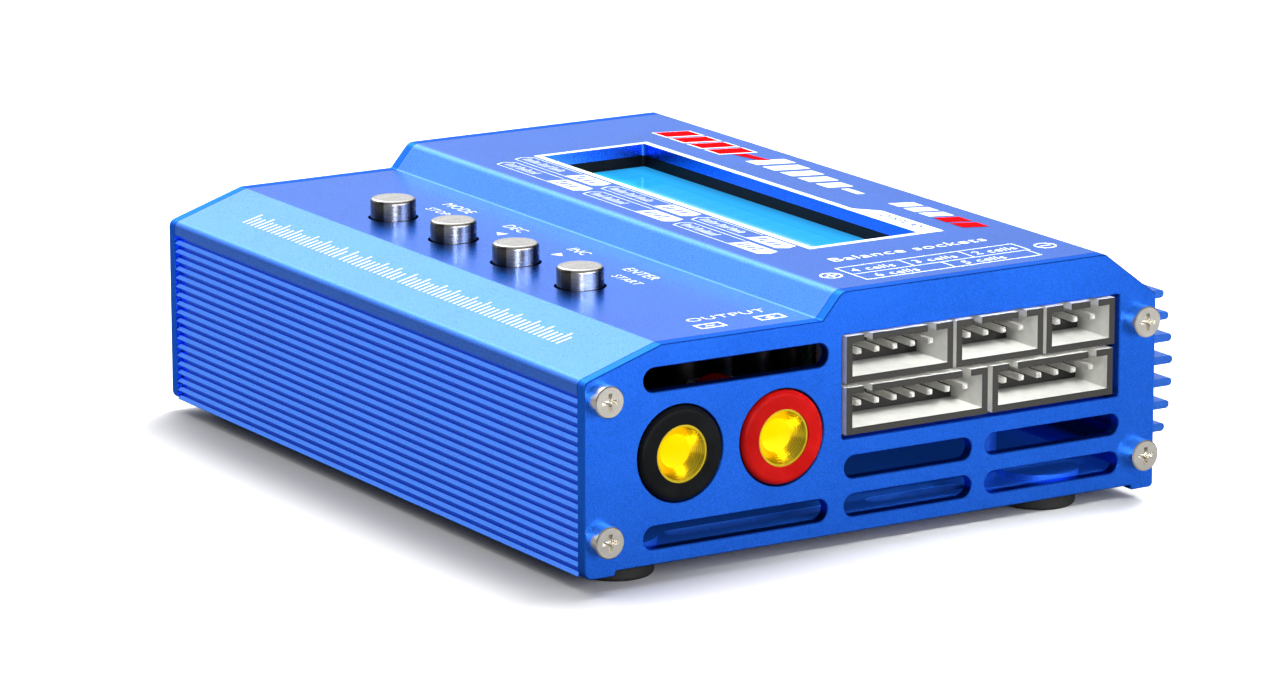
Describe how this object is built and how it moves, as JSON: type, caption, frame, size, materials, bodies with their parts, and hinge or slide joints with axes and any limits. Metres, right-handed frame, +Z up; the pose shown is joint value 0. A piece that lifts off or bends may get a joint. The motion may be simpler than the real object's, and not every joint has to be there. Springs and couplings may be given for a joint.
{
  "type": "balance battery charger",
  "caption": "Small bench charger with a blue extruded case, push buttons, a backlit display, two banana sockets, a block of keyed balance sockets and a fan in its floor.",
  "frame": {"origin": "middle of the plan, on the plane that the rubber feet stand on", "axes": "+X towards the end with the output sockets, +Y towards the finned back, +Z up"},
  "size_m": [0.1045, 0.0836, 0.0311],
  "materials": {
    "blue_anodised": "fine blasted, blue anodised",
    "plated_screws": "bright plated",
    "black_rubber": "matt",
    "circuit_board": "solder mask, satin",
    "brass_standoffs": "nickel-tinted brass",
    "black_moulding": "moulded satin",
    "white_stems": "moulded",
    "polished_caps": "turned and brushed",
    "ivory_housings": "moulded nylon",
    "tinned_metal": "tin plated",
    "black_collar": "gloss",
    "red_collar": "gloss",
    "gold_plating": "gold plated",
    "black_frame": "satin black",
    "display_glass": "clear",
    "light_guide": "backlit cyan diffuser",
    "copper_winding": "enamelled copper",
    "capacitor_cans": "bright can",
    "heat_spreader": "milled",
    "thermal_rubber": "soft grey"
  },
  "bodies": {
    "case": {"top_shell": "blue_anodised", "bottom_plate": "blue_anodised", "output_end_plate": "blue_anodised", "input_end_plate": "blue_anodised", "output_plate_screws": "plated_screws", "input_plate_screws": "plated_screws", "standoff_screws": "plated_screws", "fan_screws": "plated_screws", "board_screws": "plated_screws", "spacer_screws": "plated_screws", "rubber_feet": "black_rubber", "main_board": "circuit_board", "key_board": "circuit_board", "balance_board": "circuit_board", "display_board": "circuit_board", "board_standoffs": "brass_standoffs", "board_spacers": "brass_standoffs", "socket_nuts": "brass_standoffs", "tact_switches": "black_moulding", "board_link_headers": "black_moulding", "power_jack": "black_moulding", "data_port_tongue": "black_moulding", "fan_frame": "black_moulding", "buzzer": "black_moulding", "control_chips": "black_moulding", "power_transistors": "black_moulding", "power_inductors": "black_moulding", "balance_header_7pin": "ivory_housings", "balance_header_6pin": "ivory_housings", "balance_header_5pin": "ivory_housings", "balance_header_4pin": "ivory_housings", "balance_header_3pin": "ivory_housings", "sensor_header": "ivory_housings", "balance_pins": "tinned_metal", "sensor_pins": "tinned_metal", "data_port_shell": "tinned_metal", "power_jack_pin": "tinned_metal", "black_socket_collar": "black_collar", "red_socket_collar": "red_collar", "black_socket_contact": "gold_plating", "red_socket_contact": "gold_plating", "display_bezel": "black_frame", "display_glass": "display_glass", "display_light_guide": "light_guide", "fan_coil": "copper_winding", "filter_capacitors": "capacitor_cans", "heat_block": "heat_spreader", "thermal_pad": "thermal_rubber"},
    "stop_key": {"stop_button": "polished_caps", "stop_switch_stem": "white_stems"},
    "minus_key": {"minus_button": "polished_caps", "minus_switch_stem": "white_stems"},
    "plus_key": {"plus_button": "polished_caps", "plus_switch_stem": "white_stems"},
    "start_key": {"start_button": "polished_caps", "start_switch_stem": "white_stems"},
    "fan_wheel": {"fan_rotor": "black_moulding", "fan_shaft": "tinned_metal"}
  },
  "joints": [
    {"name": "stop_press", "type": "slide", "parent": "case", "child": "stop_key", "axis": [0, 0, -1], "range_m": [0, 0.0003], "stiffness_N_per_m": 800, "springref_m": -0.0003},
    {"name": "minus_press", "type": "slide", "parent": "case", "child": "minus_key", "axis": [0, 0, -1], "range_m": [0, 0.0003], "stiffness_N_per_m": 800, "springref_m": -0.0003},
    {"name": "plus_press", "type": "slide", "parent": "case", "child": "plus_key", "axis": [0, 0, -1], "range_m": [0, 0.0003], "stiffness_N_per_m": 800, "springref_m": -0.0003},
    {"name": "start_press", "type": "slide", "parent": "case", "child": "start_key", "axis": [0, 0, -1], "range_m": [0, 0.0003], "stiffness_N_per_m": 800, "springref_m": -0.0003},
    {"name": "fan_spin", "type": "hinge", "parent": "case", "child": "fan_wheel", "pos_m": [0, -0.0019, 0.0066], "axis": [0, 0, 1], "continuous": true}
  ]
}
